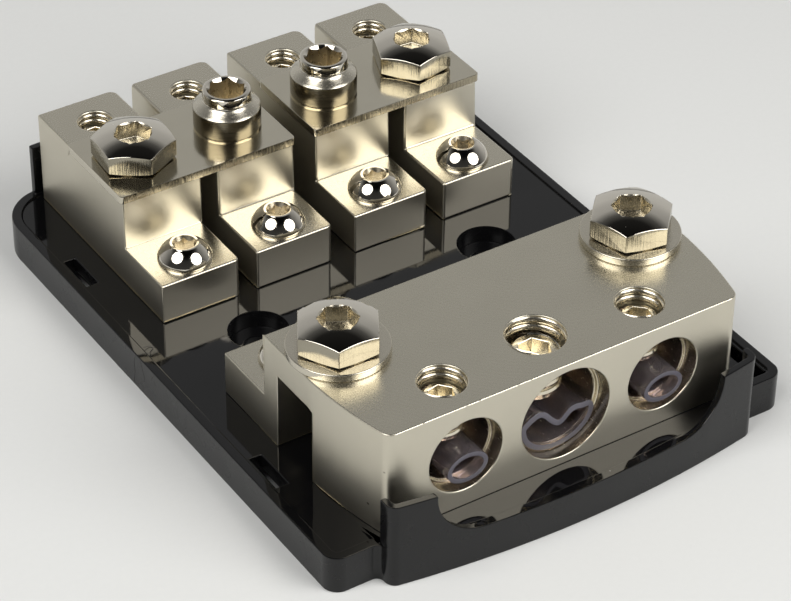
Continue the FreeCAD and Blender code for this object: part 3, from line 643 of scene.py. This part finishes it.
middleTubeLook = {"x": 0.1, "z": 14.2, "front": -50.5, "bottom": 9.4, "halfWidth": 6.1,
                  "halfHeight": 4.8, "topScale": 0.28, "wall": 1.0,
                  "dents": [(0.2, -2.9, 4.0), (4.6, -0.8, 2.4), (-3.6, 0.5, 2.6)],
                  "steps": [(1.2, 0.93), (1.0, 0.92), (8.0, 0.97)]}
sideTubeLook = {"x": 0.8, "z": 13.45, "front": -52.2, "bottom": 10.6, "halfWidth": 3.85,
                "halfHeight": 2.85, "topScale": 1.0, "wall": 0.87, "dents": [],
                "steps": [(2.0, 1.0), (9.0, 0.97)]}
tubeLook = {"sides": 96, "edge": 0.1, "edgeSegments": 2, "edgeAngle": 50, "smoothAngle": 40,
            "cutDepth": 0.3, "cutFacing": 0.5}
nearZero = 0.001


def chooseVertices(piece, wanted):
    editNone(piece, "VERT")
    bpy.ops.object.mode_set(mode="OBJECT")
    for point in piece.data.vertices:
        point.select = wanted(point.co / mm)
    bpy.ops.object.mode_set(mode="EDIT")


def dent(tube, reach, drop, size):
    # Pushes the upper wall down, most of all at the given place across the tube
    above = [point.co / mm for point in tube.data.vertices if point.co.z > 0]
    nearest = min(above, key=lambda place: abs(place.x - reach))
    chooseVertices(tube, lambda place: (place - nearest).length < nearZero)
    bpy.ops.transform.translate(value=(0, 0, drop * mm), use_proportional_edit=True,
                                proportional_edit_falloff="SMOOTH", proportional_size=size * mm)
    bpy.ops.object.mode_set(mode="OBJECT")


def tubePiece(name, node, look, portX):
    # A closed ellipse, bent with a few edit mode moves, then drawn out to the rear
    x = portX + look["x"]
    deselect()
    bpy.ops.mesh.primitive_circle_add(vertices=tubeLook["sides"], radius=1.0, fill_type="NOTHING",
                                      rotation=(math.pi / 2, 0, 0), location=(0, 0, 0))
    tube = bpy.context.object
    tube.name = name
    settle(tube)
    tube.scale = (look["halfWidth"] * mm, 1, look["halfHeight"] * mm)
    settle(tube)
    chooseVertices(tube, lambda place: place.z > nearZero)
    bpy.ops.transform.resize(value=(1, 1, look["topScale"]), center_override=(0, 0, 0))
    bpy.ops.object.mode_set(mode="OBJECT")
    for reach, drop, size in look["dents"]:
        dent(tube, reach, drop, size)
    moveTo(tube, x, look["front"], look["z"])
    editAll(tube)
    bpy.ops.mesh.select_mode(type="EDGE")
    bpy.ops.mesh.select_all(action="SELECT")
    for depth, growth in look["steps"]:
        bpy.ops.mesh.extrude_region_move(TRANSFORM_OT_translate={"value": (0, depth * mm, 0)})
        bpy.ops.transform.resize(value=(1, 1, growth),
                                 center_override=(x * mm, 0, look["bottom"] * mm))
    endOutward()
    modify(tube, "SOLIDIFY", thickness=look["wall"] * mm, offset=-1)
    editAll(tube)
    endOutward()
    soften(tube, tubeLook["edge"], tubeLook["edgeSegments"], tubeLook["edgeAngle"])
    smooth(tube, tubeLook["smoothAngle"])
    finish(tube, name, node, clearTube)
    cutEnd = look["front"] + tubeLook["cutDepth"]
    paintWhere(tube, cutTube, lambda centre, normal: (
        -normal.y > tubeLook["cutFacing"] and centre.y < cutEnd))


tubePiece("portTubeBodyMiddle", "port_tube_middle", middleTubeLook, 0.0)
for side, sign in (("left", -1), ("right", 1)):
    tubePiece(f"portTubeBody{side.title()}", f"port_tube_{side}", sideTubeLook,
              portLook["spacing"] * sign)
print("tubes made")


# Screws and bolts

screwLook = {"headSides": 96, "shaftSides": 64, "clampSides": 60, "smoothAngle": 24,
             "headGap": 0.01, "overshoot": 2.0, "uprightBelow": 0.3}


def upright(normal):
    return abs(normal.z) < screwLook["uprightBelow"]


def domeRings(radius, top, outer, inner, count):
    # Rings on a sphere whose crown is at the top height, from the outer radius to the inner one
    rings = []
    for step in range(count + 1):
        reach = outer + (inner - outer) * step / count
        rings.append((reach, top - radius + math.sqrt(radius ** 2 - reach ** 2)))
    return rings


def shankRings(look, seat):
    # A shank with a chamfered tip, up to just below the head
    radius = look["shank"]
    return [(radius - look["tipInset"], 0.0), (radius, look["tipRise"]),
            (radius, seat - screwLook["headGap"])]


def cutSocket(piece, look, top, rim, turn):
    # A hex socket, and its turned mouth where the look has one, with heights from the rim
    socket = hexPrism("socket", look["socket"], top - look["socketDepth"],
                      top + screwLook["overshoot"], turn)
    combine(piece, socket, "DIFFERENCE")
    if "mouth" in look:
        rings = [(radius, rim + height) for radius, height in look["mouth"]]
        combine(piece, turned("mouth", rings, look["mouthSides"]), "DIFFERENCE")


coilLook = {"sides": 8, "fill": 0.48, "stepsPerTurn": 40}


def threadCoil(name, radius, depth, pitch, low, high):
    # A ridge with a rounded section wound into a helix, closed at both ends
    deselect()
    turns = max(1, math.ceil((high - low) / pitch))
    steps = coilLook["stepsPerTurn"] * turns
    bpy.ops.mesh.primitive_circle_add(vertices=coilLook["sides"], radius=1.0, fill_type="NOTHING",
                                      location=(0, 0, 0), rotation=(math.pi / 2, 0, 0))
    coil = bpy.context.object
    coil.name = name
    coil.scale = (depth * mm, pitch * coilLook["fill"] * mm, 1)
    settle(coil)
    moveTo(coil, radius, 0, low)
    modify(coil, "SCREW", axis="Z", angle=math.tau * (high - low) / pitch,
           screw_offset=(high - low) * mm, steps=steps, render_steps=steps)
    editNone(coil, "EDGE")
    bpy.ops.mesh.select_non_manifold()
    bpy.ops.mesh.edge_face_add()
    endOutward()
    return coil


hexLook = {
    "across": 12.8, "height": 5.3, "dome": 17.4, "corner": 7.9, "crown": 0.4, "domeSteps": 14,
    "underside": 0.3, "underInset": 0.1, "underRise": 0.35, "edge": 0.1, "edgeReach": 5.9,
    "edgeAngle": 24, "edgeAbove": 1.3, "barMargin": 1.0, "mergeGap": 0.02,
    "socket": 6.0, "socketDepth": 3.4,
    "mouthRadius": 3.3, "mouth": [(3.0, -0.3), (4.3, 1.0)], "mouthSides": 96,
    "thread": 3.57, "ridge": 0.36, "pitch": 1.25, "threadLow": -11.2, "threadHigh": -0.5,
    "sunk": 0.05, "flatReach": 4.5, "socketReach": 3.4, "socketAbove": 1.0,
    "shaft": [(3.3, -12.0), (3.6, -11.6), (3.6, -0.02), (5.95, 0.0), (6.1, 0.15), (6.1, 0.32)]}
hexTurns = {"input_fuse_bolt_left": (-1.0, 32.0), "input_fuse_bolt_right": (-13.0, 27.0),
            "output_fuse_bolt_left": (26.0, 52.0), "output_fuse_bolt_right": (9.0, 57.0)}


def hexBolt(node, look, turn, socketTurn):
    # The head is a turned dome cut to six sides, so the chamfer curves over each flat
    x, y = axisOf(node)
    top = look["height"]
    foot = look["underside"]
    rim = top - look["dome"] + math.sqrt(look["dome"] ** 2 - look["mouthRadius"] ** 2)
    seat = topOf(node) - rim
    rings = [(look["across"] / 2 - look["underInset"], foot),
             (look["corner"], foot + look["underRise"])]
    rings += domeRings(look["dome"], top, look["corner"], look["crown"], look["domeSteps"])
    head = turned(node, rings, screwLook["headSides"])
    cutSocket(head, look, top, rim, socketTurn)
    bar = hexPrism("bar", look["across"], -look["barMargin"], top + look["barMargin"], turn)
    combine(head, bar, "INTERSECT")
    mergeClose(head, look["mergeGap"])
    bevelSharpEdges(head, look["edge"], look["edgeAngle"], False, lambda ends: (
        min(end.xy.length for end in ends) >= look["edgeReach"]
        and max(end.z for end in ends) >= look["edgeAbove"]))
    shaft = turned("shaft", look["shaft"], screwLook["shaftSides"])
    coil = threadCoil("coil", look["thread"], look["ridge"], look["pitch"], look["threadLow"],
                      look["threadHigh"])
    bolt = joinAll(node, [head, shaft, coil])
    moveTo(bolt, x, y, seat - look["sunk"])
    smooth(bolt, screwLook["smoothAngle"])
    finishScrew(bolt, node, brightScrew)
    # Painted shade: the upright flats of the head get a darker copy of its nickel
    paintRound(bolt, groundNickelPaintedShade, x, y, lambda reach, height, normal: (
        upright(normal) and reach > look["flatReach"]))
    paintRound(bolt, socketNickel, x, y, lambda reach, height, normal: (
        height > seat + look["socketAbove"] and reach < look["socketReach"]))


for node, (turn, socketTurn) in hexTurns.items():
    hexBolt(node, hexLook, turn, socketTurn)


buttonLook = {
    "shank": 2.5, "tipInset": 0.3, "tipRise": 0.4, "headHeight": 3.0, "dome": 5.15,
    "domeRise": 3.62, "domeOuter": 4.72, "domeInner": 2.6, "domeSteps": 18,
    "underside": [(4.6, 0.0), (4.74, 0.12)], "flat": [(2.5, -0.01), (2.4, 0.0), (0.4, 0.0)],
    "socket": 3.3, "socketDepth": 1.8, "mouth": [(1.65, -0.8), (2.1, 0.02), (2.1, 1.0)],
    "mouthSides": 64, "paintDepth": 1.85, "paintReach": 2.05}
buttonTurns = {"input_base_screw_left": 12, "input_base_screw_right": 12,
               "output_base_screw_1": 5, "output_base_screw_2": 18, "output_base_screw_3": 12,
               "output_base_screw_4": 24}


def buttonScrew(node, look, turn):
    x, y = axisOf(node)
    low, high = bottomOf(node), topOf(node)
    top = high - low
    seat = top - look["headHeight"]
    rings = shankRings(look, seat)
    rings += [(radius, seat + height) for radius, height in look["underside"]]
    rings += domeRings(look["dome"], seat + look["domeRise"], look["domeOuter"],
                       look["domeInner"], look["domeSteps"])
    rings += [(radius, top + height) for radius, height in look["flat"]]
    screw = turned(node, rings, screwLook["headSides"])
    cutSocket(screw, look, top, top, turn)
    moveTo(screw, x, y, low)
    smooth(screw, screwLook["smoothAngle"])
    finishScrew(screw, node, brightScrew)
    # Painted shade: the socket of the head is darker than the dome
    paintRound(screw, boreNickelPaintedShade, x, y, lambda reach, height, normal: (
        height > high - look["paintDepth"] and reach < look["paintReach"]))


for node, turn in buttonTurns.items():
    buttonScrew(node, buttonLook, turn)


steppedLook = {
    "shank": 4.0, "tipInset": 0.4, "tipRise": 0.4, "headHeight": 7.5,
    "head": [(5.6, 0.0), (5.7, 0.05), (5.97, 0.38), (5.97, 3.95), (5.93, 4.1), (5.82, 4.22),
             (5.5, 4.44), (4.75, 5.0), (4.4, 5.28), (4.24, 5.5), (4.2, 5.7), (4.23, 5.9),
             (4.25, 6.1), (4.25, 7.1), (4.2, 7.3), (4.08, 7.42), (3.9, 7.49), (3.7, 7.5),
             (0.5, 7.5)],
    "socket": 6.0, "socketDepth": 5.0, "mouth": [(3.0, -0.55), (4.0, 0.55)], "mouthSides": 96,
    "smoothAngle": 30, "sideReach": 5.0, "coneReach": 4.1, "coneDepth": 1.0,
    "coneTilt": (0.3, 0.97), "boreReach": 3.5, "boreTop": 0.6, "boreDepth": 5.1}
steppedTurns = {"bridge_bolt_left": 53.5, "bridge_bolt_right": 47.0}


def steppedBolt(node, look, turn):
    x, y = axisOf(node)
    low, high = bottomOf(node), topOf(node)
    top = high - low
    seat = top - look["headHeight"]
    rings = shankRings(look, seat)
    rings += [(radius, seat + height) for radius, height in look["head"]]
    bolt = turned(node, rings, screwLook["headSides"])
    cutSocket(bolt, look, top, top, turn)
    moveTo(bolt, x, y, low)
    smooth(bolt, look["smoothAngle"])
    finishScrew(bolt, node, brightScrew)
    # Painted shade: the upright sides of the body get a much darker copy of the bolt's nickel
    paintRound(bolt, turnedNickelPaintedShade, x, y, lambda reach, height, normal: (
        upright(normal) and reach > look["sideReach"]))
    steepest, flattest = look["coneTilt"]
    paintRound(bolt, washerNickel, x, y, lambda reach, height, normal: (
        steepest < normal.z < flattest and reach > look["coneReach"]
        and height < high - look["coneDepth"]))
    # Painted shade: the bore of the socket is darker than the rest of the bolt
    paintRound(bolt, boreNickelPaintedShade, x, y, lambda reach, height, normal: (
        high - look["boreDepth"] < height < high - look["boreTop"] and reach < look["boreReach"]))


for node, turn in steppedTurns.items():
    steppedBolt(node, steppedLook, turn)


sideLook = {"major": 3.7, "depth": 0.42, "pitch": 1.25, "socket": 4.0}
middleLook = {"major": 4.68, "depth": 0.5, "pitch": 1.5, "socket": 5.0}
outputLook = {"major": 2.74, "depth": 0.34, "pitch": 1.05, "socket": 3.0}
clampLook = {"tipCone": 0.7, "topInset": 0.45, "topDrop": 0.55, "crown": 0.4,
             "socketDepth": 3.0, "edge": 0.06, "edgeSegments": 1, "edgeAngle": 40,
             "threadLow": 0.9, "threadDrop": 0.6, "threadSeam": 0.02}
holeLook = {"clearance": 0.36, "ridge": 0.33, "above": 0.1, "below": 0.35}
softAngle = 60


def setScrew(node, look, turn):
    x, y = axisOf(node)
    low = bottomOf(node)
    length = topOf(node) - low
    minor = look["major"] - look["depth"]
    rings = [(minor - look["tipCone"], 0.0), (minor, look["tipCone"]),
             (minor, length - look["topDrop"]), (minor - look["topInset"], length),
             (look["crown"], length)]
    core = turned(node, rings, screwLook["clampSides"])
    cutSocket(core, look, length, length, turn)
    soften(core, look["edge"], look["edgeSegments"], look["edgeAngle"])
    coil = threadCoil("coil", minor - look["threadSeam"], look["depth"], look["pitch"],
                      look["threadLow"], length - look["threadDrop"])
    screw = joinAll(node, [core, coil])
    moveTo(screw, x, y, low)
    smooth(screw, screwLook["smoothAngle"])
    finishScrew(screw, node, clampMetal)


def holeThread(name, node, look, top):
    # The thread seen in the hole above a set screw
    x, y = axisOf(node)
    coil = threadCoil(name, look["major"] + holeLook["clearance"], holeLook["ridge"],
                      look["pitch"], topOf(node) + holeLook["above"], top - holeLook["below"])
    moveTo(coil, x, y, 0)
    smooth(coil, softAngle)
    finishExtra(coil, threadNickel)


inputTop = topOf("input_block")
outputTop = topOf("output_block_1")
inputClamps = (("left", sideLook, 10), ("middle", middleLook, 5), ("right", sideLook, 16))
outputTurns = (5, 18, 12, 24)
for side, look, turn in inputClamps:
    setScrew(f"input_set_screw_{side}", {**clampLook, **look}, turn)
    holeThread(f"inputThread{side.title()}", f"input_set_screw_{side}", look, inputTop)
for number, turn in enumerate(outputTurns, start=1):
    setScrew(f"output_set_screw_{number}", {**clampLook, **outputLook}, turn)
    holeThread(f"outputThread{number}", f"output_set_screw_{number}", outputLook, outputTop)
print("screws made")


# Dirt and wear seen in the photo

outerWall = -44.53
hairs = {
    "hairOnRim": {"thickness": 0.09, "points": [
        (-42.5, 9.05, 7.02), (-41.2, 9.1, 6.7), (-41.03, 8.46, 6.65), (-41.65, 8.04, 6.7),
        (-42.4, 7.3, 6.95), (-43.4, 7.6, 7.02), (-44.2, 7.7, 7.0)]},
    "hairOnWall": {"thickness": 0.09, "points": [(outerWall, y, z) for y, z in (
        (7.9, 7.0), (8.24, 6.64), (8.75, 5.45), (8.69, 3.35), (8.92, 0.62), (8.48, 0.48),
        (8.07, 0.44), (7.58, 1.30), (7.09, 1.90), (6.38, 2.16), (5.72, 2.60), (5.38, 3.43),
        (5.67, 4.52), (6.10, 5.51), (6.59, 6.67))]},
    "hairCurl": {"thickness": 0.08, "points": [(outerWall, y, z) for y, z in (
        (2.11, 6.48), (2.58, 5.63), (2.72, 5.11), (2.13, 5.29), (1.80, 5.20), (1.56, 4.72))]}}
burrLook = {"y": -52.72, "below": 0.04, "stretch": (1.6, 0.6, 0.5), "uneven": 0.2, "seed": 3,
            "burrs": [(-27.2, 0.13), (-19.2, 0.16), (-16.8, 0.15), (-9.5, 0.14), (-7.1, 0.12)]}


def hair(name, look):
    # A loose hair: a smooth curve through the points with a round section
    data = bpy.data.curves.new(name, "CURVE")
    data.dimensions = "3D"
    data.bevel_depth = look["thickness"] / 2 * mm
    data.bevel_resolution = 2
    data.use_fill_caps = True
    line = data.splines.new("BEZIER")
    line.bezier_points.add(len(look["points"]) - 1)
    for knot, place in zip(line.bezier_points, look["points"]):
        knot.co = Vector(place) * mm
        knot.handle_left_type = knot.handle_right_type = "AUTO"
    activate(newObject(name, data))
    bpy.ops.object.convert(target="MESH")
    piece = bpy.context.object
    smooth(piece, softAngle)
    finishExtra(piece, fibreBlack)


def burr(name, x, size):
    # A small bright bump that the cutter left on the input block's front edge
    deselect()
    bpy.ops.mesh.primitive_ico_sphere_add(subdivisions=2, radius=size * mm)
    piece = bpy.context.object
    piece.name = name
    piece.scale = burrLook["stretch"]
    settle(piece)
    editAll(piece)
    bpy.ops.transform.vertex_random(offset=size * burrLook["uneven"] * mm, seed=burrLook["seed"])
    bpy.ops.object.mode_set(mode="OBJECT")
    moveTo(piece, x, burrLook["y"], inputTop - burrLook["below"])
    smooth(piece, softAngle)
    finishExtra(piece, brightScrew)


for name, look in hairs.items():
    hair(name, look)
for number, (x, size) in enumerate(burrLook["burrs"], start=1):
    burr(f"edgeBurr{number}", x, size)
print("dirt and wear made")


# Camera, floor and light

cameraLook = {"place": (-0.2304049, -0.3534724, 0.3231820),
              "right": (0.8394074, -0.5434186, 0.0095562),
              "up": (0.320379, 0.5089329, 0.7989647),
              "back": (-0.4390358, -0.6675953, 0.601302),
              "sensorWidth": 36, "focalPixels": 3066.1, "imageWidth": 791, "nearest": 0.01}
floorLook = {"size": 6, "height": -0.00002, "roughness": 0.85, "shine": 0.15, "noise": 900.0,
             "dark": (0.765, 0.775, 0.77), "light": (0.785, 0.795, 0.79)}
worldLook = {"levels": [(0.0, 0.60), (0.35, 0.56), (0.52, 0.46), (0.67, 0.42), (0.79, 0.11),
                        (0.88, 0.02), (1.0, 0.015)],
             "warmth": 0.99, "back": (0.45, 0.89, 0.0), "fadeFrom": -0.3, "fadeTo": 0.74,
             "front": 0.08, "rear": 1.0}
lamps = {"frontLeftLamp": {"azimuth": -80, "elevation": 50, "distance": 0.9, "width": 0.68,
                           "power": 5.2, "colour": (1.0, 0.985, 0.96)},
         "frontRightLamp": {"azimuth": 31, "elevation": 39, "distance": 0.9, "width": 0.72,
                            "power": 6.2, "colour": (1.0, 0.985, 0.96)}}


def makeCamera(look):
    bpy.ops.object.camera_add()
    camera = bpy.context.object
    turn = Matrix((look["right"], look["up"], look["back"])).transposed().to_4x4()
    camera.matrix_world = Matrix.Translation(look["place"]) @ turn
    camera.data.sensor_width = look["sensorWidth"]
    camera.data.lens = look["focalPixels"] / look["imageWidth"] * look["sensorWidth"]
    camera.data.clip_start = look["nearest"]
    bpy.context.scene.camera = camera


def makeFloor(look):
    bpy.ops.mesh.primitive_plane_add(size=look["size"], location=(0, 0, look["height"]))
    floor = bpy.context.object
    floor.name = "floor"
    material, tree, shader = newMaterial("floorPaper")
    shader["Roughness"].default_value = look["roughness"]
    shader["Specular IOR Level"].default_value = look["shine"]
    noise = addNode(tree, "ShaderNodeTexNoise", {
        "Vector": objectPlace(tree), "Scale": look["noise"]})
    colour = mixColours(tree, noise.outputs["Fac"], look["dark"], look["light"])
    feed(tree, shader["Base Color"], colour)
    floor.data.materials.append(material)


def makeWorld(look):
    # A pale sweep low down behind the object, a dark ceiling, and a dim room in front
    world = bpy.data.worlds.new("studio")
    bpy.context.scene.world = world
    world.use_nodes = True
    tree = world.node_tree
    sky = tree.nodes["Background"].inputs
    direction = tree.nodes.new("ShaderNodeTexCoord").outputs["Generated"]
    levels = addNode(tree, "ShaderNodeValToRGB", {"Fac": axisParts(tree, direction)["Z"]})
    elements = levels.color_ramp.elements
    for index, (place, level) in enumerate(look["levels"]):
        element = elements[index] if index < 2 else elements.new(place)
        element.position = place
        element.color = (level, level, level * look["warmth"], 1)
    toBack = computeVector(tree, "DOT_PRODUCT", direction, look["back"])
    feed(tree, sky["Color"], levels.outputs["Color"])
    feed(tree, sky["Strength"], mapRange(tree, toBack, look["fadeFrom"], look["fadeTo"],
                                         look["front"], look["rear"]))


def roundLamp(name, look):
    # Azimuth 0 is in front of the object, positive to the right
    turn = math.radians(look["azimuth"])
    lift = math.radians(look["elevation"])
    aim = Vector((math.sin(turn) * math.cos(lift), -math.cos(turn) * math.cos(lift),
                  math.sin(lift)))
    bpy.ops.object.light_add(type="AREA", location=aim * look["distance"])
    lamp = bpy.context.object
    lamp.name = name
    lamp.data.shape = "DISK"
    lamp.data.size = look["width"]
    lamp.data.energy = look["power"]
    lamp.data.color = look["colour"]
    lamp.rotation_euler = aim.to_track_quat("Z", "Y").to_euler()


makeCamera(cameraLook)
makeFloor(floorLook)
makeWorld(worldLook)
for name, look in lamps.items():
    roundLamp(name, look)
view = bpy.context.scene.view_settings
view.view_transform = "Standard"
print("stage made")
